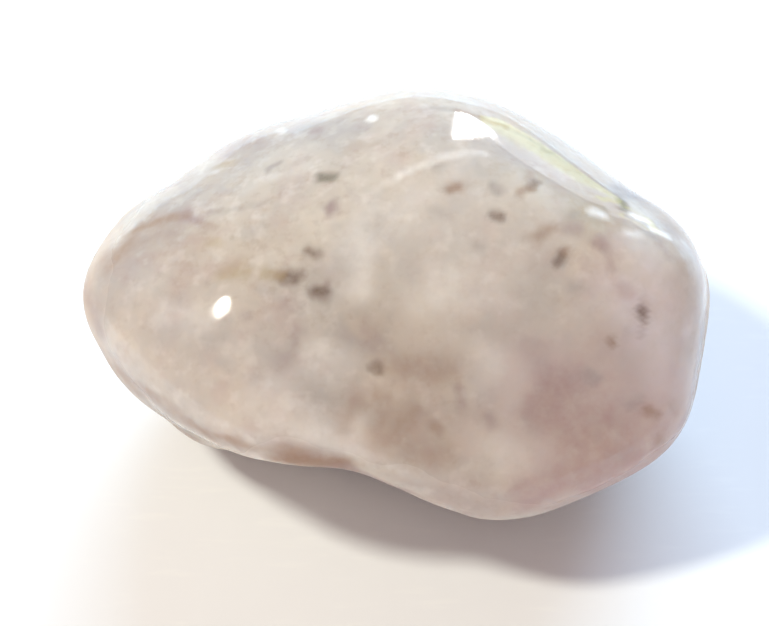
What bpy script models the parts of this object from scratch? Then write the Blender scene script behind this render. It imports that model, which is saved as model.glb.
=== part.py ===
"""A tumbled quartz stone, one solid, lying on the small flat spot worn on its underside.

The form follows the way such a stone is made. A broken chip has a few rough faces, and the tumbler
wears each of them to a shallow dome and rounds every edge between them. So the stone is described by
its worn faces: which way each one looks, how far it lies from the heart of the stone, how domed it
is, and how wide the tumbler rounded its edges. A hollow where the chip had a scoop is worn in the
same way. Metres, +Z up. X runs along the stone, from its slim end at -X to its blunt end at +X.
"""

from collections import namedtuple
import math

import bmesh
import bpy
import numpy as np
from mathutils import Vector

MM = 0.001

# A worn face: azimuth from +X towards +Y and elevation above the horizon, in degrees, give the way
# it looks. Reach is its distance from the heart, dome its radius of curvature and edge the width of
# the rounding towards the faces listed before it, all three in millimetres.
Face = namedtuple("Face", "name azimuth elevation reach dome edge")

# A hollow worn by a ball of this radius: the ball's centre from the heart and the rounding of the
# hollow's rim, in millimetres.
Hollow = namedtuple("Hollow", "name centre radius edge")

FACES = (
    Face("broad front", -87, 40, 8.2, 90, 3.0),
    Face("slim end, upper side", -120, 67, 7.7, 60, 2.0),
    Face("top, left slope", 151, 70, 9.1, 90, 2.0),
    Face("top, right bevel", 38, 66, 9.4, 90, 1.0),
    Face("rim behind the bevel", 45, 35, 10.1, 90, 0.8),
    Face("rim behind the left slope", 127, 44.5, 10.15, 80, 4.0),
    Face("slim end, tip", -173, 8, 15.1, 9, 2.5),
    Face("slim end, lower side", -127.5, -24, 10.65, 60, 2.5),
    Face("blunt end", -14, 7, 13.7, 60, 1.5),
    Face("heel, right side", -63, -32, 11.5, 60, 1.5),
    Face("heel, left side", -102, -38, 10.7, 25, 2.5),
    Face("underside", -90, -89, 8.0, 60, 3.0),
    Face("back", 90, 0, 9.5, 90, 5.0),
    Face("back, under", 90, -40, 9.0, 90, 4.0),
    Face("slim end, under", -170, -35, 14.8, 60, 5.0),
    Face("blunt end, under", 0, -40, 13.6, 60, 4.0),
    Face("back, slim side", 145, 12, 15.5, 60, 5.0),
    Face("back, blunt side", 30, 8, 15.2, 60, 4.0),
)

HOLLOWS = (Hollow("arch between slim end and heel", (-5.8, -17.7, -11.3), 14.2, 2.5),)

# The flat spot that the stone rests on lies this far under the heart.
REST_DEPTH = 7.7 * MM

# The surface is a cube's grid pushed out to the worn faces: cells along each of the cube's edges.
GRID_CELLS = 28

# No face reaches further than this, so the surface lies between the heart and here.
SEARCH_REACH = 30 * MM
SEARCH_STEPS = 40

# Milky quartz: a pale warm grey with a trace of pink, polished.
QUARTZ_COLOUR = (0.56, 0.46, 0.39, 1.0)
QUARTZ_ROUGHNESS = 0.12


def clear_scene():
    for old in list(bpy.data.objects):
        bpy.data.objects.remove(old)


def looking(azimuth, elevation):
    """The unit vector for an azimuth and an elevation in degrees."""
    turn, rise = math.radians(azimuth), math.radians(elevation)
    level = math.cos(rise)
    return np.array((level * math.cos(turn), level * math.sin(turn), math.sin(rise)))


def worn_together(first, second, edge):
    """The larger of two depths, with the crease between them rounded over the width edge."""
    overlap = np.maximum(edge - np.abs(first - second), 0.0) / edge
    return np.maximum(first, second) + overlap * overlap * edge / 4


def outside_face(points, face):
    """How far points, in metres from the heart, lie outside a worn face."""
    direction = looking(face.azimuth, face.elevation)
    along = points @ direction
    across_squared = (points * points).sum(axis=1) - along * along
    return along - face.reach * MM + across_squared / (2 * face.dome * MM)


def outside_hollow(points, hollow):
    """How far points lie inside the ball that wore a hollow."""
    centre = np.array(hollow.centre) * MM
    return hollow.radius * MM - np.linalg.norm(points - centre, axis=1)


def outside_stone(points):
    """Below zero inside the stone, above zero outside it."""
    depth = outside_face(points, FACES[0])
    for face in FACES[1:]:
        depth = worn_together(depth, outside_face(points, face), face.edge * MM)
    for hollow in HOLLOWS:
        depth = worn_together(depth, outside_hollow(points, hollow), hollow.edge * MM)
    return depth


def surface_points(directions):
    """Where rays from the heart meet the stone's surface, found by halving."""
    near = np.zeros(len(directions))
    far = np.full(len(directions), SEARCH_REACH)
    for _ in range(SEARCH_STEPS):
        middle = (near + far) / 2
        inside = outside_stone(directions * middle[:, None]) < 0
        near = np.where(inside, middle, near)
        far = np.where(inside, far, middle)
    return directions * ((near + far) / 2)[:, None]


def even_directions(cube):
    """Unit vectors through the vertices of a gridded cube of half-width 1, evenly spread."""
    corners = np.array([vert.co for vert in cube.verts])
    spread = np.tan(corners * math.pi / 4)
    return spread / np.linalg.norm(spread, axis=1)[:, None]


def stone_mesh():
    """The stone's mesh, standing on z = 0 with its box centred on the Z axis."""
    cube = bmesh.new()
    bmesh.ops.create_cube(cube, size=2.0)
    bmesh.ops.subdivide_edges(
        cube,
        edges=list(cube.edges),
        cuts=GRID_CELLS - 1,
        use_grid_fill=True,
    )
    places = surface_points(even_directions(cube))
    places[:, 2] = np.maximum(places[:, 2], -REST_DEPTH)
    low, high = places.min(axis=0), places.max(axis=0)
    foot = np.array(((low[0] + high[0]) / 2, (low[1] + high[1]) / 2, -REST_DEPTH))
    for vert, place in zip(cube.verts, places - foot):
        vert.co = Vector(place)
    mesh = bpy.data.meshes.new("stone")
    cube.to_mesh(mesh)
    cube.free()
    mesh.shade_smooth()
    return mesh


def quartz_material():
    material = bpy.data.materials.new("milky_quartz")
    material.use_nodes = True
    shader = material.node_tree.nodes["Principled BSDF"]
    shader.inputs["Base Color"].default_value = QUARTZ_COLOUR
    shader.inputs["Roughness"].default_value = QUARTZ_ROUGHNESS
    shader.inputs["Metallic"].default_value = 0.0
    return material


def make_stone():
    stone = bpy.data.objects.new("stone", stone_mesh())
    stone.data.materials.append(quartz_material())
    bpy.context.scene.collection.objects.link(stone)
    return stone


clear_scene()
make_stone()
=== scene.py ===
"""A tumbled stone of milky quartz on a pale floor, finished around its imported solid. Metres."""

from collections import namedtuple
import math
import random

import bmesh
import bpy
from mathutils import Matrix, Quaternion, Vector, noise
from mathutils.bvhtree import BVHTree
import numpy as np


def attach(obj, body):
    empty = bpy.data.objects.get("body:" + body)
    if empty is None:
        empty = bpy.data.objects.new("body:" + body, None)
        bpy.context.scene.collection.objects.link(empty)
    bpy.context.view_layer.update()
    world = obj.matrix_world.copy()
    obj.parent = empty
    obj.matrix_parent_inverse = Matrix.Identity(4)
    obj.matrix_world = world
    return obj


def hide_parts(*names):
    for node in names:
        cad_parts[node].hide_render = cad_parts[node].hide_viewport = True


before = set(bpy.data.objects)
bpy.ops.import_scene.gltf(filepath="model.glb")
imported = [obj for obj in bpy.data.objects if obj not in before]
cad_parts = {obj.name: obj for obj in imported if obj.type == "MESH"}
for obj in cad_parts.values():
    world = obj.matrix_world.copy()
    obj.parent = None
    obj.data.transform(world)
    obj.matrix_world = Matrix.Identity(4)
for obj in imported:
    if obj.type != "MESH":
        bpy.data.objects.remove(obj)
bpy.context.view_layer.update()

MM = 0.001

# The camera
# It looks down on the stone's broad front face from close by, as the picture does, so the near
# edge is drawn a little larger than the far one. The marks below are placed through this view.
PICTURE_WIDTH, PICTURE_HEIGHT = 769, 626
VIEW_ELEVATION = math.radians(50)
VIEW_DISTANCE = 95 * MM
VIEW_SCALE = 22.3 / MM
HEART = Vector((0.18, 0.73, 7.7)) * MM
HEART_IN_PICTURE = (400, 300)
SENSOR_WIDTH = 36

picture_right = Vector((1, 0, 0))
picture_up = Vector((0, math.sin(VIEW_ELEVATION), math.cos(VIEW_ELEVATION)))
towards_camera = Vector((0, -math.cos(VIEW_ELEVATION), math.sin(VIEW_ELEVATION)))


def beside_heart(pixel):
    """The point level with the stone's heart that the camera sees at a pixel of the picture."""
    right = (pixel[0] - HEART_IN_PICTURE[0]) / VIEW_SCALE
    down = (pixel[1] - HEART_IN_PICTURE[1]) / VIEW_SCALE
    return HEART + picture_right * right - picture_up * down


camera_data = bpy.data.cameras.new("camera")
camera_data.sensor_width = SENSOR_WIDTH
camera_data.lens = SENSOR_WIDTH * VIEW_SCALE * VIEW_DISTANCE / PICTURE_WIDTH
camera_data.clip_start = 10 * MM
camera = bpy.data.objects.new("camera", camera_data)
picture_middle = (PICTURE_WIDTH / 2, PICTURE_HEIGHT / 2)
camera.location = beside_heart(picture_middle) + towards_camera * VIEW_DISTANCE
camera.rotation_mode = "QUATERNION"
camera.rotation_quaternion = towards_camera.to_track_quat("Z", "Y")
bpy.context.scene.collection.objects.link(camera)
bpy.context.scene.camera = camera

# The stone's form
# One pebble, broken from a vein and worn round in a tumbler. Its broad faces stay as shallow domes
# that were never ground quite true, and its blunt end and its top keep small bruises of the wear.
SUBDIVISION_LEVEL = 2
SWELL_HEIGHT, SWELL_LENGTH = 0.05 * MM, 5 * MM

# A patch that stands a little proud or low, or is bruised: the pixel of the picture that its middle
# is seen at, its radius, how far it stands proud, and the height and the length of the unevenness that
# its bruises leave, in millimetres.
Patch = namedtuple("Patch", "name middle radius rise height length")
PATCHES = (
    Patch("blunt end's edge", (628, 218), 2.2, 0.0, 0.16, 0.9),
    Patch("top, left slope", (250, 150), 6.0, 0.0, 0.05, 1.1),
    Patch("top corner", (400, 130), 4.0, 0.0, 0.035, 1.3),
    Patch("lip under the slim end", (272, 466), 4.6, 0.46, 0.0, 1.0),
    Patch("slim end, low edge", (125, 388), 2.5, 0.14, 0.0, 1.0),
    Patch("lip, slim side", (210, 450), 2.6, 0.26, 0.0, 1.0),
    Patch("arch by the heel", (400, 490), 3.0, 0.22, 0.0, 1.0),
    Patch("heel", (455, 518), 3.0, 0.22, 0.0, 1.0),
    Patch("left slope's rim, low", (160, 180), 2.5, -0.20, 0.0, 1.0),
    Patch("left slope's rim, high", (250, 128), 3.5, 0.26, 0.0, 1.0),
    Patch("blunt end's shoulder", (672, 213), 2.5, 0.20, 0.0, 1.0),
)


def node(tree, kind, inputs=(), **settings):
    """Adds a node, with its settings, and fills its inputs from values or from other sockets."""
    made = tree.nodes.new(kind)
    for name, value in settings.items():
        setattr(made, name, value)
    for key, value in dict(inputs).items():
        if isinstance(value, bpy.types.NodeSocket):
            tree.links.new(value, made.inputs[key])
        else:
            made.inputs[key].default_value = value
    return made


def maths(tree, operation, first, second=0.0):
    """The result of one operation on two values or sockets."""
    return node(tree, "ShaderNodeMath", {0: first, 1: second}, operation=operation).outputs[0]


def smooth_fall(tree, value, start, end):
    """1 where the value is below start, 0 above end and a smooth slope between them."""
    limits = {"Value": value, "From Min": start, "From Max": end, "To Min": 1.0, "To Max": 0.0}
    ramp = node(tree, "ShaderNodeMapRange", limits, interpolation_type="SMOOTHSTEP")
    return ramp.outputs["Result"]


WELDING_DISTANCE = 0.001 * MM


def worn_body(cad_object):
    """The solid's own surface as a mesh of joined four-sided faces."""
    shell = bmesh.new()
    shell.from_mesh(cad_object.data)
    bmesh.ops.remove_doubles(shell, verts=shell.verts, dist=WELDING_DISTANCE)
    bmesh.ops.join_triangles(
        shell,
        faces=shell.faces,
        angle_face_threshold=math.radians(40),
        angle_shape_threshold=math.radians(60),
    )
    mesh = bpy.data.meshes.new("polished_stone")
    shell.to_mesh(mesh)
    shell.free()
    mesh.materials.clear()
    mesh.shade_smooth()
    return mesh


# A pixel beside the stone stands for the point of its edge that the line of sight passes closest.
# That line is followed in these steps, as shares of its length from the camera to the stone's heart.
SIGHT_START, SIGHT_STEP, SIGHT_STEPS = 0.8, 0.005, 80


def surface_finder(mesh):
    """Gives the function that turns a pixel of the picture into the point of the mesh seen there."""
    shell = bmesh.new()
    shell.from_mesh(mesh)
    bmesh.ops.triangulate(shell, faces=shell.faces)
    tree = BVHTree.FromBMesh(shell)
    shell.free()

    def point_at(pixel):
        ray = beside_heart(pixel) - camera.location
        place = tree.ray_cast(camera.location, ray.normalized())[0]
        if place is None:
            shares = [SIGHT_START + SIGHT_STEP * step for step in range(SIGHT_STEPS)]
            found = [tree.find_nearest(camera.location + ray * share) for share in shares]
            place, _, _, _ = min(found, key=lambda near: near[-1])
        return place

    return point_at


def swelling(tree, place, height, length, seed_offset):
    """A slow noise that rises and falls by the height, with the length as its wave."""
    per_length = maths(tree, "DIVIDE", 1.0, length)
    shifted = node(
        tree, "ShaderNodeVectorMath", {0: place, 1: seed_offset}, operation="ADD"
    ).outputs["Vector"]
    waves = node(
        tree,
        "ShaderNodeTexNoise",
        {"Vector": shifted, "Scale": per_length, "Detail": 1.5, "Roughness": 0.45},
    ).outputs["Fac"]
    return maths(tree, "MULTIPLY", maths(tree, "SUBTRACT", waves, 0.5), height)


# A patch has its full rise within this share of its radius. Nothing moves below the first height
# above the table and all of it moves above the second, so the flat spot stays flat. The swelling
# and the bruises are read from different places of one noise.
PATCH_CORE = 0.1
STILL_BELOW, FREE_ABOVE = 0.2 * MM, 2.0 * MM
SWELL_OFFSET, BRUISE_OFFSET = (0.0, 0.0, 0.0), (0.1, 0.2, 0.3)


def polishing_tree(patch_count):
    """Geometry nodes that fine the mesh, dome its faces unevenly and shape some patches of it."""
    tree = bpy.data.node_groups.new("polishing", "GeometryNodeTree")
    sockets = tree.interface
    sockets.new_socket("Geometry", in_out="INPUT", socket_type="NodeSocketGeometry")
    names = [("Level", "Int"), ("Swell height", "Float"), ("Swell length", "Float")]
    for number in range(patch_count):
        names.append((f"Patch {number} middle", "Vector"))
        for value in ("radius", "rise", "height", "length"):
            names.append((f"Patch {number} {value}", "Float"))
    names.append(("Material", "Material"))
    for name, kind in names:
        sockets.new_socket(name, in_out="INPUT", socket_type="NodeSocket" + kind)
    sockets.new_socket("Geometry", in_out="OUTPUT", socket_type="NodeSocketGeometry")
    given = node(tree, "NodeGroupInput").outputs
    fine = node(
        tree,
        "GeometryNodeSubdivisionSurface",
        {"Mesh": given["Geometry"], "Level": given["Level"]},
    )
    place = node(tree, "GeometryNodeInputPosition").outputs["Position"]
    facing = node(tree, "GeometryNodeInputNormal").outputs["Normal"]
    rise = swelling(tree, place, given["Swell height"], given["Swell length"], SWELL_OFFSET)
    for number in range(patch_count):
        middle, radius, proud, height, length = (
            given[f"Patch {number} {value}"]
            for value in ("middle", "radius", "rise", "height", "length")
        )
        away = node(
            tree, "ShaderNodeVectorMath", {0: place, 1: middle}, operation="DISTANCE"
        ).outputs["Value"]
        share = smooth_fall(tree, away, maths(tree, "MULTIPLY", radius, PATCH_CORE), radius)
        unevenness = swelling(tree, place, height, length, BRUISE_OFFSET)
        patch_rise = maths(tree, "ADD", proud, unevenness)
        rise = maths(tree, "ADD", rise, maths(tree, "MULTIPLY", patch_rise, share))
    above_table = node(tree, "ShaderNodeSeparateXYZ", {0: place}).outputs["Z"]
    near_rest = smooth_fall(tree, above_table, STILL_BELOW, FREE_ABOVE)
    clear_of_rest = maths(tree, "SUBTRACT", 1.0, near_rest)
    offset = node(
        tree,
        "ShaderNodeVectorMath",
        {"Vector": facing, "Scale": maths(tree, "MULTIPLY", rise, clear_of_rest)},
        operation="SCALE",
    ).outputs["Vector"]
    worn = node(
        tree,
        "GeometryNodeSetPosition",
        {"Geometry": fine.outputs["Mesh"], "Offset": offset},
    )
    real = node(tree, "GeometryNodeRealizeInstances", {"Geometry": worn.outputs["Geometry"]})
    dressed = node(
        tree,
        "GeometryNodeSetMaterial",
        {"Geometry": real.outputs["Geometry"], "Material": given["Material"]},
    )
    node(tree, "NodeGroupOutput", {"Geometry": dressed.outputs["Geometry"]})
    return tree


def set_inputs(modifier, values):
    """Sets a geometry nodes modifier's inputs by their sockets' identifiers."""
    for item in modifier.node_group.interface.items_tree:
        if item.in_out == "INPUT" and item.name in values:
            modifier[item.identifier] = values[item.name]


quartz = bpy.data.materials.new("milky_quartz")
rough_mesh = worn_body(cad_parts["stone"])
rough_point_at = surface_finder(rough_mesh)
rough_stone = bpy.data.objects.new("rough_stone", rough_mesh)
bpy.context.scene.collection.objects.link(rough_stone)
polishing = rough_stone.modifiers.new("polishing", "NODES")
polishing.node_group = polishing_tree(len(PATCHES))
polishing_values = {
    "Level": SUBDIVISION_LEVEL,
    "Swell height": SWELL_HEIGHT,
    "Swell length": SWELL_LENGTH,
    "Material": quartz,
}
for number, patch in enumerate(PATCHES):
    polishing_values[f"Patch {number} middle"] = rough_point_at(patch.middle)
    polishing_values[f"Patch {number} radius"] = patch.radius * MM
    polishing_values[f"Patch {number} rise"] = patch.rise * MM
    polishing_values[f"Patch {number} height"] = patch.height * MM
    polishing_values[f"Patch {number} length"] = patch.length * MM
set_inputs(polishing, polishing_values)
evaluated = rough_stone.evaluated_get(bpy.context.evaluated_depsgraph_get())
stone_mesh = bpy.data.meshes.new_from_object(evaluated)
rough_stone.modifiers.clear()
bpy.data.objects.remove(rough_stone)
stone_mesh.shade_smooth()
point_at = surface_finder(stone_mesh)
stone = bpy.data.objects.new("tumbled_stone", stone_mesh)
bpy.context.scene.collection.objects.link(stone)
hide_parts("stone")
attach(stone, "root")

# The stone's quartz
# Milky quartz, let through by light to a few millimetres' depth. Inside it lie pale veils, brown and
# pink clouds and dark flecks of another mineral, which the polished face cuts or shows close below.
# Some of the marks are painted light and shade instead, as said where they stand.
TONES = {
    "ground": (0.53, 0.47, 0.40),
    "grey": (0.45, 0.41, 0.37),
    "cream": (0.66, 0.61, 0.53),
    "pale": (0.78, 0.75, 0.70),
    "brown": (0.33, 0.235, 0.175),
    "rust": (0.29, 0.185, 0.13),
    "amber": (0.55, 0.45, 0.355),
    "pink": (0.40, 0.27, 0.25),
    "lilac": (0.62, 0.57, 0.59),
    "shade": (0.31, 0.28, 0.265),
    "mauve": (0.30, 0.22, 0.215),
    "dark": (0.12, 0.068, 0.045),
    "green": (0.13, 0.13, 0.09),
    "ochre": (0.38, 0.29, 0.16),
    # Only the painted highlights use white.
    "white": (0.95, 0.93, 0.88),
}

# A mark in the stone runs from one pixel of the picture to another, with its half width in
# millimetres and how strongly it covers the quartz. The tones are painted in the order in which they
# first come up in a list.
Mark = namedtuple("Mark", "tone start end half_width strength")
CLOUDS_AND_PAINTED_SHADING = (
    # Whole slopes, ends and edges, lighter or darker than the rest. Much of it is painted light and
    # shade:
    # painted shade on the top's left slope and over the slim end, painted light on the front and the
    # right side, and darker, warmer edges along the outline that stand in for less light and a dimmer
    # rim reflection. The pink patches low on the right are the quartz's own colour.
    Mark("shade", (180, 200), (330, 140), 2.2, 0.20),
    Mark("shade", (95, 300), (150, 232), 1.3, 0.36),
    Mark("pale", (430, 220), (510, 215), 2.6, 0.20),
    Mark("pale", (480, 270), (620, 300), 3.6, 0.14),
    Mark("pale", (450, 340), (530, 345), 1.6, 0.20),
    Mark("pale", (555, 352), (600, 378), 1.4, 0.36),
    Mark("pale", (655, 415), (675, 380), 1.4, 0.50),
    Mark("shade", (340, 288), (385, 290), 1.2, 0.24),
    Mark("ochre", (505, 180), (590, 210), 1.0, 0.24),
    Mark("ochre", (590, 210), (675, 258), 1.1, 0.24),
    Mark("brown", (640, 195), (672, 222), 0.8, 0.46),
    Mark("lilac", (640, 300), (668, 370), 1.9, 0.55),
    Mark("lilac", (140, 330), (240, 385), 3.2, 0.14),
    Mark("pink", (560, 400), (650, 450), 2.6, 0.62),
    Mark("pink", (545, 490), (640, 470), 1.3, 0.60),
    Mark("pink", (440, 500), (540, 500), 1.2, 0.20),
    Mark("amber", (86, 330), (150, 415), 1.1, 0.50),
    Mark("brown", (80, 300), (112, 215), 0.6, 0.45),
    Mark("brown", (84, 300), (115, 390), 0.8, 0.50),
    Mark("brown", (112, 388), (200, 446), 0.8, 0.52),
    Mark("amber", (88, 280), (126, 208), 0.9, 0.50),
    Mark("amber", (126, 208), (240, 136), 0.9, 0.55),
    Mark("amber", (240, 136), (350, 106), 0.8, 0.50),
    Mark("amber", (350, 106), (450, 90), 0.8, 0.45),
    Mark("amber", (470, 95), (600, 172), 0.9, 0.60),
    Mark("amber", (620, 183), (700, 260), 0.8, 0.45),
    Mark("amber", (700, 250), (708, 350), 1.0, 0.75),
    Mark("brown", (676, 225), (712, 320), 0.8, 0.50),
    Mark("brown", (112, 222), (180, 172), 0.9, 0.46),
    Mark("brown", (540, 514), (600, 494), 0.5, 0.30),
    Mark("shade", (645, 235), (655, 265), 0.5, 0.25),
    # Pale patches.
    Mark("pale", (358, 242), (354, 276), 0.8, 0.42),
    Mark("pale", (430, 284), (485, 292), 0.8, 0.35),
    Mark("pale", (310, 432), (372, 442), 0.9, 0.40),
    Mark("pale", (268, 398), (276, 392), 0.9, 0.28),
    Mark("pale", (316, 366), (342, 358), 0.8, 0.26),
    Mark("pale", (170, 322), (196, 318), 0.8, 0.26),
    Mark("pale", (482, 372), (514, 382), 1.0, 0.42),
    Mark("pale", (502, 395), (508, 415), 0.5, 0.30),
    Mark("pale", (472, 432), (488, 448), 0.8, 0.32),
    Mark("pale", (505, 446), (540, 452), 1.0, 0.40),
    Mark("pale", (545, 364), (590, 366), 0.6, 0.28),
    Mark("pale", (640, 350), (650, 362), 0.5, 0.25),
    Mark("pale", (340, 225), (410, 205), 0.7, 0.12),
    Mark("pale", (235, 190), (300, 172), 0.4, 0.12),
    # Brown clouds and the streaks below them.
    Mark("brown", (385, 335), (432, 352), 1.3, 0.20),
    Mark("brown", (400, 372), (445, 372), 0.8, 0.26),
    Mark("brown", (356, 400), (346, 428), 0.36, 0.24),
    Mark("brown", (384, 402), (371, 440), 0.40, 0.26),
    Mark("brown", (408, 408), (386, 450), 0.6, 0.30),
    Mark("rust", (380, 405), (392, 430), 0.6, 0.16),
    Mark("amber", (378, 392), (450, 436), 1.4, 0.30),
    Mark("rust", (475, 425), (505, 440), 0.9, 0.08),
    Mark("rust", (405, 470), (460, 485), 0.8, 0.14),
    Mark("brown", (455, 370), (490, 385), 0.7, 0.16),
    Mark("brown", (412, 404), (422, 424), 0.6, 0.16),
    Mark("brown", (432, 424), (466, 434), 0.50, 0.10),
    Mark("brown", (415, 455), (440, 450), 0.7, 0.22),
    Mark("brown", (480, 330), (560, 326), 1.2, 0.16),
    Mark("brown", (604, 346), (640, 360), 0.9, 0.24),
    Mark("brown", (686, 268), (700, 330), 0.9, 0.34),
    Mark("rust", (690, 350), (680, 390), 0.7, 0.16),
    Mark("rust", (668, 430), (660, 447), 0.5, 0.12),
    # The brown edge of the lip, the underside below it, stains by the slim end and a wash over the
    # bevel.
    Mark("brown", (112, 366), (152, 398), 0.55, 0.50),
    Mark("brown", (152, 398), (205, 434), 0.60, 0.62),
    Mark("brown", (205, 434), (245, 442), 0.35, 0.45),
    # Painted light and shade on the lip's underside, which faces down: pale near the slim end, then
    # rust for its shade and the warm light that comes through the lip.
    Mark("pale", (214, 445), (268, 456), 0.45, 0.45),
    Mark("rust", (290, 458), (335, 467), 0.72, 0.90),
    Mark("brown", (124, 242), (176, 224), 0.60, 0.26),
    # Painted: a darker, warmer wash over the bevel that takes the cool tint of the window light out of
    # it.
    Mark("brown", (480, 135), (610, 200), 1.30, 0.20),
    # Painted shade on the underside further along, by the heel.
    Mark("mauve", (335, 468), (390, 486), 0.60, 0.75),
    Mark("mauve", (86, 285), (96, 322), 0.60, 0.40),
    Mark("brown", (98, 268), (126, 244), 0.60, 0.42),
    # Mauve, grey and brown mottling, with painted shade on the top and a painted dark reflection on
    # the blunt end's shoulder.
    Mark("mauve", (532, 340), (540, 365), 0.55, 0.26),
    Mark("mauve", (548, 392), (584, 378), 0.70, 0.22),
    Mark("shade", (522, 402), (530, 424), 0.50, 0.34),
    Mark("shade", (620, 398), (645, 408), 0.50, 0.24),
    Mark("mauve", (300, 326), (274, 368), 0.40, 0.26),
    Mark("mauve", (348, 328), (378, 330), 0.45, 0.14),
    Mark("mauve", (360, 346), (392, 344), 0.35, 0.12),
    Mark("mauve", (283, 302), (292, 308), 0.35, 0.22),
    Mark("shade", (152, 336), (168, 338), 0.50, 0.22),
    Mark("shade", (214, 340), (220, 338), 0.40, 0.26),
    Mark("shade", (226, 360), (236, 362), 0.35, 0.22),
    Mark("shade", (430, 270), (470, 264), 0.60, 0.20),
    Mark("mauve", (180, 303), (184, 304), 0.35, 0.20),
    Mark("brown", (150, 250), (205, 240), 0.80, 0.22),
    # Painted shade: the top made darker here.
    Mark("shade", (390, 136), (434, 112), 0.50, 0.18),
    Mark("shade", (436, 122), (444, 142), 0.35, 0.18),
    Mark("brown", (350, 152), (376, 142), 0.45, 0.24),
    Mark("mauve", (220, 152), (270, 140), 0.60, 0.20),
    Mark("green", (578, 222), (590, 216), 0.30, 0.22),
    # Painted dark reflection: the blunt end's shoulder made darker, where little bright light is
    # mirrored.
    Mark("shade", (615, 190), (646, 201), 0.32, 0.62),
    Mark("shade", (625, 190), (692, 240), 0.70, 0.50),
    Mark("shade", (480, 160), (487, 172), 0.22, 0.25),
)
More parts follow.
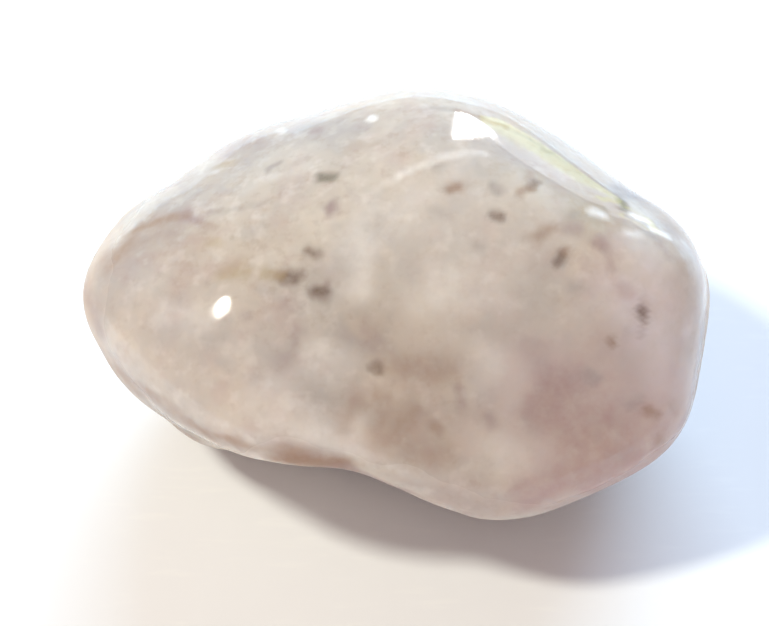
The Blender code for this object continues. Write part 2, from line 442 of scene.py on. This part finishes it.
FLECKS_AND_PAINTED_HIGHLIGHTS = (
    # Specks of the dark mineral, alone or in short rows.
    Mark("green", (320, 178), (334, 177), 0.23, 0.62),
    Mark("mauve", (330, 206), (332, 210), 0.26, 0.60),
    Mark("dark", (309, 251), (317, 254), 0.26, 0.50),
    Mark("dark", (283, 278), (296, 277), 0.32, 0.62),
    Mark("ochre", (264, 272), (280, 276), 0.24, 0.50),
    Mark("dark", (316, 291), (324, 293), 0.30, 0.64),
    Mark("dark", (325, 286), (328, 283), 0.18, 0.28),
    Mark("ochre", (222, 274), (246, 272), 0.30, 0.42),
    Mark("ochre", (237, 264), (243, 260), 0.22, 0.26),
    Mark("ochre", (211, 243), (216, 243), 0.26, 0.30),
    Mark("shade", (268, 170), (279, 163), 0.19, 0.62),
    Mark("ochre", (215, 168), (237, 162), 0.22, 0.36),
    Mark("mauve", (172, 185), (180, 183), 0.18, 0.42),
    Mark("mauve", (155, 193), (165, 189), 0.18, 0.36),
    Mark("mauve", (313, 131), (320, 130), 0.20, 0.42),
    Mark("shade", (322, 112), (330, 110), 0.16, 0.36),
    Mark("shade", (358, 131), (366, 129), 0.18, 0.34),
    Mark("dark", (374, 366), (379, 368), 0.24, 0.50),
    Mark("mauve", (245, 316), (249, 318), 0.26, 0.30),
    Mark("brown", (450, 188), (457, 186), 0.26, 0.80),
    Mark("shade", (494, 186), (498, 191), 0.24, 0.52),
    Mark("brown", (520, 193), (530, 190), 0.20, 0.66),
    Mark("dark", (532, 188), (536, 183), 0.22, 0.55),
    Mark("brown", (526, 180), (529, 174), 0.20, 0.38),
    Mark("dark", (494, 214), (501, 218), 0.21, 0.62),
    Mark("shade", (436, 164), (439, 166), 0.26, 0.36),
    Mark("shade", (436, 210), (439, 212), 0.24, 0.26),
    Mark("shade", (477, 246), (484, 247), 0.24, 0.34),
    Mark("brown", (540, 233), (553, 230), 0.24, 0.46),
    Mark("brown", (524, 237), (538, 235), 0.16, 0.24),
    Mark("mauve", (565, 229), (577, 228), 0.30, 0.36),
    Mark("dark", (557, 262), (561, 256), 0.22, 0.62),
    Mark("brown", (563, 254), (569, 250), 0.15, 0.50),
    Mark("mauve", (597, 240), (605, 245), 0.26, 0.52),
    Mark("mauve", (606, 252), (613, 268), 0.18, 0.28),
    Mark("shade", (572, 286), (577, 289), 0.24, 0.24),
    Mark("pink", (622, 288), (628, 293), 0.28, 0.30),
    Mark("dark", (642, 311), (644, 319), 0.20, 0.60),
    Mark("mauve", (645, 300), (641, 336), 0.15, 0.34),
    Mark("brown", (609, 342), (613, 343), 0.19, 0.75),
    Mark("mauve", (459, 390), (462, 407), 0.25, 0.40),
    Mark("brown", (433, 426), (439, 431), 0.24, 0.52),
    Mark("mauve", (489, 418), (493, 424), 0.25, 0.34),
    Mark("shade", (588, 374), (595, 380), 0.24, 0.38),
    Mark("shade", (630, 404), (637, 400), 0.24, 0.34),
    Mark("brown", (649, 411), (655, 414), 0.22, 0.60),
    Mark("rust", (659, 440), (662, 443), 0.28, 0.40),
    Mark("rust", (672, 404), (676, 414), 0.20, 0.20),
    Mark("shade", (545, 150), (549, 152), 0.19, 0.66),
    Mark("green", (623, 202), (625, 209), 0.24, 0.66),
    Mark("shade", (617, 195), (640, 198), 0.18, 0.62),
    Mark("shade", (648, 233), (656, 238), 0.20, 0.46),
    Mark("mauve", (660, 245), (668, 255), 0.22, 0.30),
    Mark("brown", (112, 262), (106, 270), 0.30, 0.40),
    # Brown streaks in the middle of the front.
    Mark("rust", (404, 366), (446, 374), 0.42, 0.22),
    Mark("rust", (356, 402), (342, 430), 0.24, 0.20),
    Mark("rust", (390, 398), (376, 428), 0.22, 0.18),
    Mark("rust", (418, 412), (384, 446), 0.36, 0.28),
    Mark("rust", (412, 448), (446, 456), 0.40, 0.16),
    # The crack that runs in from the slim end, and the lip's stained edge.
    Mark("brown", (124, 238), (140, 228), 0.24, 0.42),
    Mark("brown", (140, 228), (156, 222), 0.28, 0.54),
    Mark("brown", (156, 222), (172, 217), 0.28, 0.56),
    Mark("brown", (172, 217), (186, 216), 0.22, 0.46),
    Mark("mauve", (184, 216), (197, 222), 0.24, 0.60),
    Mark("brown", (198, 222), (216, 229), 0.15, 0.34),
    Mark("shade", (208, 213), (228, 211), 0.18, 0.28),
    Mark("shade", (236, 209), (268, 202), 0.17, 0.26),
    Mark("brown", (116, 370), (140, 386), 0.20, 0.34),
    Mark("brown", (148, 390), (166, 400), 0.20, 0.40),
    Mark("brown", (190, 422), (202, 431), 0.24, 0.42),
    Mark("brown", (216, 436), (240, 439), 0.16, 0.42),
    Mark("brown", (230, 440), (300, 453), 0.24, 0.46),
    Mark("rust", (305, 459), (355, 471), 0.30, 0.50),
    # The edge between the bevel and the rim behind it.
    Mark("shade", (436, 108), (456, 110), 0.18, 0.46),
    Mark("brown", (456, 110), (481, 118), 0.16, 0.46),
    Mark("brown", (481, 118), (506, 128), 0.18, 0.56),
    Mark("shade", (506, 128), (531, 140), 0.16, 0.44),
    Mark("shade", (531, 140), (553, 153), 0.15, 0.48),
    Mark("shade", (553, 153), (578, 172), 0.15, 0.34),
    Mark("shade", (578, 172), (602, 187), 0.14, 0.30),
    # Painted highlights in white: glints at two small pits on the top, the broken highlights where the
    # bevel's reflection breaks up on its bruised end, and a bright line along the top's front edge,
    # where it catches the light.
    Mark("white", (371, 118), (373, 119), 0.16, 0.60),
    Mark("white", (280, 130), (283, 132), 0.16, 0.30),
    Mark("white", (446, 155), (484, 154), 0.16, 0.26),
    Mark("white", (593, 211), (603, 216), 0.24, 0.55),
    Mark("white", (634, 216), (647, 222), 0.20, 0.70),
    Mark("white", (654, 230), (666, 236), 0.19, 0.60),
    Mark("white", (626, 233), (638, 235), 0.22, 0.32),
    Mark("white", (362, 196), (400, 176), 0.17, 0.16),
    Mark("white", (400, 176), (440, 157), 0.19, 0.26),
)

# Where the polish is worn duller: along the lower lip, round the slim end and on the blunt end.
MATT = (
    Mark("matt", (84, 300), (112, 222), 2.0, 0.85),
    Mark("matt", (84, 300), (125, 395), 2.0, 1.0),
    Mark("matt", (125, 395), (200, 445), 2.0, 1.0),
    Mark("matt", (200, 445), (300, 466), 2.0, 1.0),
    Mark("matt", (300, 466), (400, 492), 2.0, 1.0),
    Mark("matt", (400, 492), (520, 525), 2.0, 1.0),
    Mark("matt", (520, 525), (640, 480), 1.5, 0.8),
    Mark("matt", (640, 480), (700, 380), 1.5, 0.8),
    Mark("matt", (700, 380), (706, 270), 1.6, 0.85),
)


def veil_group():
    """Cloudy patches: where a slow noise rises from its low to its high value."""
    tree = bpy.data.node_groups.new("veil", "ShaderNodeTree")
    sockets = tree.interface
    sockets.new_socket("Position", in_out="INPUT", socket_type="NodeSocketVector")
    for name in ("Size", "Detail", "Low", "High"):
        sockets.new_socket(name, in_out="INPUT", socket_type="NodeSocketFloat")
    sockets.new_socket("Cover", in_out="OUTPUT", socket_type="NodeSocketFloat")
    given = node(tree, "NodeGroupInput").outputs
    per_size = maths(tree, "DIVIDE", 1.0, given["Size"])
    waves = node(
        tree,
        "ShaderNodeTexNoise",
        {
            "Vector": given["Position"],
            "Scale": per_size,
            "Detail": given["Detail"],
            "Roughness": 0.55,
        },
    ).outputs["Fac"]
    clear = smooth_fall(tree, waves, given["Low"], given["High"])
    node(tree, "NodeGroupOutput", {"Cover": maths(tree, "SUBTRACT", 1.0, clear)})
    return tree


def wandering(tree, position, size, amount):
    """The position moved about by a noise, so that what is drawn there has an uneven edge."""
    waves = node(
        tree,
        "ShaderNodeTexNoise",
        {"Vector": position, "Scale": 1 / size, "Detail": 3.0, "Roughness": 0.6},
    ).outputs["Color"]
    either_way = node(
        tree, "ShaderNodeVectorMath", {0: waves, 1: (0.5, 0.5, 0.5)}, operation="SUBTRACT"
    ).outputs["Vector"]
    moved = node(
        tree, "ShaderNodeVectorMath", {"Vector": either_way, "Scale": 2 * amount}, operation="SCALE"
    ).outputs["Vector"]
    return node(
        tree, "ShaderNodeVectorMath", {0: position, 1: moved}, operation="ADD"
    ).outputs["Vector"]


# The sockets of the Mix node that a colour uses: its factor, its two colours and its result.
FACTOR, FIRST_COLOUR, SECOND_COLOUR, MIXED_COLOUR = 0, 6, 7, 2


def blend(tree, cover, first, second):
    """The first colour where the cover is 0 and the second where it is 1."""
    inputs = {FACTOR: cover, FIRST_COLOUR: first, SECOND_COLOUR: second}
    return node(tree, "ShaderNodeMix", inputs, data_type="RGBA").outputs[MIXED_COLOUR]


def tone(name):
    """A tone of the quartz as an opaque colour."""
    return (*TONES[name], 1.0)


veil_tree = veil_group()
quartz.use_nodes = True
look = quartz.node_tree
shader = look.nodes["Principled BSDF"]


def veil(position, size, detail, low, high):
    """The cover of a veil in the quartz."""
    values = {"Position": position, "Size": size, "Detail": detail, "Low": low, "High": high}
    return node(look, "ShaderNodeGroup", values, node_tree=veil_tree).outputs["Cover"]


def tones_of(marks):
    """The tones of the marks, each once, in the order in which they first come up."""
    return list(dict.fromkeys(mark.tone for mark in marks))


def in_stone(marks):
    """Turns marks placed in the picture into marks placed in the stone, in millimetres."""
    return [
        mark._replace(
            start=np.array(point_at(mark.start) / MM),
            end=np.array(point_at(mark.end) / MM),
        )
        for mark in marks
    ]


# The square of a mark's length is never taken as smaller than this, so a dot is a mark too.
SMALLEST_SQUARE = 1e-9


def distance_from(mark, points):
    """How far points lie from the line through the middle of a mark."""
    along = mark.end - mark.start
    share = (points - mark.start) @ along / max(along @ along, SMALLEST_SQUARE)
    share = np.clip(share, 0, 1)
    return np.linalg.norm(points - mark.start - share[:, None] * along, axis=1)


def settle(mesh, layer, marks, softness, waver, wave):
    """Stores on the mesh, tone by tone, how strongly the marks cover each of its vertices.

    A mark fades over the softness, a share of its half width on each side of its edge. Its edge
    wanders in and out by up to the waver, in waves of the given length.
    """
    places = [vert.co / MM for vert in mesh.vertices]
    points = np.array([place + noise.noise_vector(place / wave) * waver for place in places])
    for name in tones_of(marks):
        cover = np.zeros(len(points))
        for mark in marks:
            if mark.tone == name:
                outer = mark.half_width * (1 + softness)
                depth = (outer - distance_from(mark, points)) / (2 * softness * mark.half_width)
                depth = np.clip(depth, 0, 1)
                depth = mark.strength * depth * depth * (3 - 2 * depth)
                cover = 1 - (1 - cover) * (1 - depth)
        mesh.attributes.new(f"{layer} {name}", "FLOAT", "POINT").data.foreach_set("value", cover)


# The picture doesn't show the surface where its normal's share towards the camera is below this. A
# mark there is never shorter than the second value, times how far its random direction reaches.
HIDDEN_BELOW = -0.1
SHORTEST_MARK = 0.1


def hidden_marks(mesh, count, tones, half_widths, longest, strengths, seed):
    """Marks for the sides that the picture doesn't show, like the ones that it does."""
    chance = random.Random(seed)
    hidden = [vert for vert in mesh.vertices if vert.normal @ towards_camera < HIDDEN_BELOW]
    marks = []
    for vert in chance.sample(hidden, count):
        sideways = Vector([chance.uniform(-1, 1) for _ in range(3)]).cross(vert.normal)
        start = np.array(vert.co / MM)
        end = start + np.array(sideways * chance.uniform(SHORTEST_MARK, longest))
        half_width, strength = chance.uniform(*half_widths), chance.uniform(*strengths)
        marks.append(Mark(chance.choice(tones), start, end, half_width, strength))
    return marks


def speckled(cover, size, low):
    """The cover broken up by a fine noise, so that no mark is quite even."""
    grain = node(
        look,
        "ShaderNodeTexNoise",
        {"Vector": in_mm, "Scale": 1 / size, "Detail": 3.0, "Roughness": 0.6},
    ).outputs["Fac"]
    share = node(
        look,
        "ShaderNodeMapRange",
        {"Value": grain, "From Min": 0.3, "From Max": 0.7, "To Min": low, "To Max": 2.0 - low},
    ).outputs["Result"]
    return maths(look, "MULTIPLY", cover, share)


def paint(colour, layer, marks, size, low):
    """The colour with the marks of a layer laid over it, one tone after another."""
    for name in tones_of(marks):
        cover = node(look, "ShaderNodeAttribute", attribute_name=f"{layer} {name}").outputs["Fac"]
        colour = blend(look, speckled(cover, size, low), colour, tone(name))
    return colour


object_place = node(look, "ShaderNodeTexCoord").outputs["Object"]
in_mm = node(
    look, "ShaderNodeVectorMath", {"Vector": object_place, "Scale": 1 / MM}, operation="SCALE"
).outputs["Vector"]
wide_drift = wandering(look, in_mm, size=3.0, amount=2.2)

# A veil's tone, its size in millimetres, its detail, the two values of its noise between which it
# fades in, and its strength.
Veil = namedtuple("Veil", "tone size detail low high strength")
VEILS = (
    Veil("cream", 2.4, 3.0, 0.45, 0.68, 0.34),
    Veil("pink", 1.7, 3.0, 0.48, 0.72, 0.28),
    Veil("shade", 1.1, 2.0, 0.50, 0.74, 0.16),
    Veil("pale", 0.8, 2.0, 0.50, 0.76, 0.24),
    Veil("brown", 0.5, 2.0, 0.50, 0.75, 0.22),
)
greyness = veil(wide_drift, size=6.0, detail=2.0, low=0.42, high=0.60)
colour = blend(look, greyness, tone("ground"), tone("grey"))
for spec in VEILS:
    cover = veil(in_mm, spec.size, spec.detail, spec.low, spec.high)
    colour = blend(look, maths(look, "MULTIPLY", cover, spec.strength), colour, tone(spec.tone))

clouds_and_shading = in_stone(CLOUDS_AND_PAINTED_SHADING) + hidden_marks(
    stone_mesh,
    count=26,
    tones=("brown", "pink", "pale", "shade", "lilac"),
    half_widths=(0.6, 2.4),
    longest=3.0,
    strengths=(0.2, 0.45),
    seed=4,
)
settle(stone_mesh, "cloud_and_shading", clouds_and_shading, softness=0.8, waver=0.7, wave=1.6)
colour = paint(colour, "cloud_and_shading", clouds_and_shading, size=0.9, low=0.75)
flecks_and_highlights = in_stone(FLECKS_AND_PAINTED_HIGHLIGHTS) + hidden_marks(
    stone_mesh,
    count=60,
    tones=("dark", "mauve", "brown", "shade", "ochre"),
    half_widths=(0.16, 0.32),
    longest=0.9,
    strengths=(0.2, 0.55),
    seed=7,
)
settle(stone_mesh, "fleck_and_highlight", flecks_and_highlights, softness=0.9, waver=0.16, wave=0.5)
colour = paint(colour, "fleck_and_highlight", flecks_and_highlights, size=0.45, low=0.8)
look.links.new(colour, shader.inputs["Base Color"])

# The polish's roughness where it is best and where it is worst, what is added to it where the stone
# is worn dull, and how deep the finest wear is.
SMOOTHEST, LEAST_SMOOTH = 0.03, 0.11
DULLING = 0.5
WEAR_HEIGHT = 0.0008 * MM
QUARTZ_IOR = 1.5
SCATTER_DEPTH = 6 * MM
SCATTER_SHARES = (1.0, 0.8, 0.65)

settle(stone_mesh, "skin", in_stone(MATT), softness=0.5, waver=0.3, wave=1.2)
dulled = node(look, "ShaderNodeAttribute", attribute_name="skin matt").outputs["Fac"]
polish = veil(in_mm, size=2.0, detail=4.0, low=0.35, high=0.75)
roughness = node(
    look,
    "ShaderNodeMapRange",
    {"Value": polish, "To Min": SMOOTHEST, "To Max": LEAST_SMOOTH},
).outputs["Result"]
roughness = maths(look, "ADD", roughness, maths(look, "MULTIPLY", dulled, DULLING))
look.links.new(roughness, shader.inputs["Roughness"])
fine_wear = node(
    look,
    "ShaderNodeTexNoise",
    {"Vector": in_mm, "Scale": 2.2, "Detail": 3.0, "Roughness": 0.55},
).outputs["Fac"]
relief = node(
    look,
    "ShaderNodeBump",
    {"Height": fine_wear, "Distance": WEAR_HEIGHT, "Strength": 1.0},
).outputs["Normal"]
look.links.new(relief, shader.inputs["Normal"])
shader.inputs["IOR"].default_value = QUARTZ_IOR
shader.inputs["Subsurface Weight"].default_value = 1.0
shader.inputs["Subsurface Radius"].default_value = SCATTER_SHARES
shader.inputs["Subsurface Scale"].default_value = SCATTER_DEPTH

# The floor
# A plain sheet of white paper, wide enough to fill every view. Fibres pressed into it lie in all
# directions and make it a touch lighter or darker.
FLOOR_HALF_WIDTH = 2.0
PAPER_COLOUR, FIBRE_COLOUR = (0.85, 0.85, 0.85, 1.0), (0.93, 0.93, 0.90, 1.0)
PAPER_ROUGHNESS, PAPER_SPECULAR = 0.9, 0.1

# The fibres' directions in degrees, how fine they are along and across, and how strongly they show.
FIBRE_TURNS = (20, 75, 130)
FIBRE_SCALE = (260, 1500, 1)
FIBRE_COVER = 0.2

floor_shape = bmesh.new()
bmesh.ops.create_grid(floor_shape, x_segments=1, y_segments=1, size=FLOOR_HALF_WIDTH)
floor_mesh = bpy.data.meshes.new("floor")
floor_shape.to_mesh(floor_mesh)
floor_shape.free()
floor = bpy.data.objects.new("floor", floor_mesh)
bpy.context.scene.collection.objects.link(floor)

paper = bpy.data.materials.new("paper")
paper.use_nodes = True
paper_look = paper.node_tree
paper_shader = paper_look.nodes["Principled BSDF"]
paper_place = node(paper_look, "ShaderNodeTexCoord").outputs["Object"]
paper_colour = PAPER_COLOUR
for turn in FIBRE_TURNS:
    rotation = (0.0, 0.0, math.radians(turn))
    laid = node(
        paper_look,
        "ShaderNodeMapping",
        {"Vector": paper_place, "Rotation": rotation, "Scale": FIBRE_SCALE},
    ).outputs["Vector"]
    fibre = node(
        paper_look, "ShaderNodeTexNoise", {"Vector": laid, "Scale": 1.0, "Detail": 2.0}
    ).outputs["Fac"]
    cover = node(
        paper_look,
        "ShaderNodeMapRange",
        {"Value": fibre, "From Min": 0.62, "From Max": 0.74, "To Max": FIBRE_COVER},
    ).outputs["Result"]
    paper_colour = blend(paper_look, cover, paper_colour, FIBRE_COLOUR)
paper_look.links.new(paper_colour, paper_shader.inputs["Base Color"])
paper_shader.inputs["Roughness"].default_value = PAPER_ROUGHNESS
paper_shader.inputs["Specular IOR Level"].default_value = PAPER_SPECULAR
floor_mesh.materials.append(paper)

# The light
# A small warm lamp stands on the left and a wide cool window behind on the right, and a pale room
# fills the rest. Panels that light nothing are what the polished stone mirrors: the lamp's glint on
# the slim half, and on the bevel a bright gap, the low sky and the garden below it.
WHITE, WARM_WHITE, SKY_BLUE = (1.0, 1.0, 1.0), (0.995, 1.0, 0.885), (0.52, 0.757, 1.0)
COOL_WHITE, HAZE, LEAF_GREEN = (0.95, 0.95, 1.0), (0.95, 0.97, 1.0), (0.9, 1.0, 0.3)
ROOM_COLOUR, ROOM_STRENGTH = (1.0, 0.78, 0.77, 1.0), 0.40

# A light's azimuth and elevation in degrees from the stone, its distance, its width and height,
# its colour, its radiance, and the degrees by which it leans: its left side, seen from the stone, up.
Light = namedtuple("Light", "name azimuth elevation distance width height colour radiance lean")
LAMP = Light("lamp", 190, 55, 0.20, 0.027, 0.027, WARM_WHITE, 157, 0)
WINDOW = Light("window", 74, 30, 0.6, 0.58, 0.30, SKY_BLUE, 12.3, 0)
REFLECTOR = Light("reflector", -75, 12, 0.6, 0.8, 0.22, COOL_WHITE, 1.6, 0)
PANEL_DISTANCE = 0.6
PANELS = (
    Light("glint", 189, 54, PANEL_DISTANCE, 0.070, 0.018, WARM_WHITE, 60, 0),
    Light("low_sky", 63, 10.4, PANEL_DISTANCE, 0.16, 0.09, HAZE, 1.7, 20),
    Light("garden", 65, 4.6, PANEL_DISTANCE, 0.16, 0.042, LEAF_GREEN, 2.1, 20),
)
ROUND = ("lamp", "glint")

# The bright gap rises towards the left, so it is made of strips, each from one azimuth to another
# and from a low to a high elevation, in degrees.
Strip = namedtuple("Strip", "start end low high")
GAP = (
    Strip(69.0, 70.0, 9.0, 15.5),
    Strip(70.0, 71.0, 9.0, 19.5),
    Strip(71.0, 72.2, 9.0, 24.0),
    Strip(72.2, 74.0, 9.0, 28.5),
    Strip(74.0, 76.0, 9.0, 33.0),
    Strip(76.0, 78.0, 10.0, 36.5),
    Strip(78.0, 80.2, 12.0, 39.0),
    Strip(80.2, 81.2, 20.0, 40.5),
    Strip(81.2, 82.5, 26.0, 41.5),
    Strip(82.5, 83.7, 31.0, 42.5),
    Strip(83.7, 85.2, 36.0, 43.5),
)
GAP_RADIANCE = 14


def gap_panel(number, strip):
    """The upright panel that fills one strip of the bright gap."""
    azimuth, elevation = (strip.start + strip.end) / 2, (strip.low + strip.high) / 2
    reach = PANEL_DISTANCE * math.cos(math.radians(elevation))
    width = reach * math.radians(strip.end - strip.start)
    height = PANEL_DISTANCE * math.radians(strip.high - strip.low)
    place = (azimuth, elevation, PANEL_DISTANCE)
    return Light(f"gap_{number}", *place, width, height, WHITE, GAP_RADIANCE, 0)


def direction_of(azimuth, elevation):
    """The way from the stone towards an azimuth and an elevation in degrees."""
    turn, rise = math.radians(azimuth), math.radians(elevation)
    level = math.cos(rise)
    return Vector((level * math.cos(turn), level * math.sin(turn), math.sin(rise)))


def add_light(spec):
    """A flat light that faces the stone's heart."""
    data = bpy.data.lights.new(spec.name, "AREA")
    area = spec.width * spec.height
    if spec.name in ROUND:
        data.shape = "ELLIPSE"
        area *= math.pi / 4
    else:
        data.shape = "RECTANGLE"
    data.size, data.size_y = spec.width, spec.height
    data.color = spec.colour
    data.energy = spec.radiance * area * math.pi
    light = bpy.data.objects.new(spec.name, data)
    direction = direction_of(spec.azimuth, spec.elevation)
    light.location = HEART + direction * spec.distance
    light.rotation_mode = "QUATERNION"
    lean = Quaternion((0, 0, 1), math.radians(spec.lean))
    light.rotation_quaternion = direction.to_track_quat("Z", "Y") @ lean
    bpy.context.scene.collection.objects.link(light)
    return light


for spec in (LAMP, WINDOW, REFLECTOR):
    add_light(spec).visible_glossy = False
gap_panels = [gap_panel(number, strip) for number, strip in enumerate(GAP)]
for spec in (*PANELS, *gap_panels):
    panel = add_light(spec)
    panel.visible_diffuse = False
    panel.visible_transmission = False

room = bpy.data.worlds.new("room")
room.use_nodes = True
sky = room.node_tree.nodes["Background"]
sky.inputs["Color"].default_value = ROOM_COLOUR
sky.inputs["Strength"].default_value = ROOM_STRENGTH
bpy.context.scene.world = room
bpy.context.scene.view_settings.view_transform = "Standard"
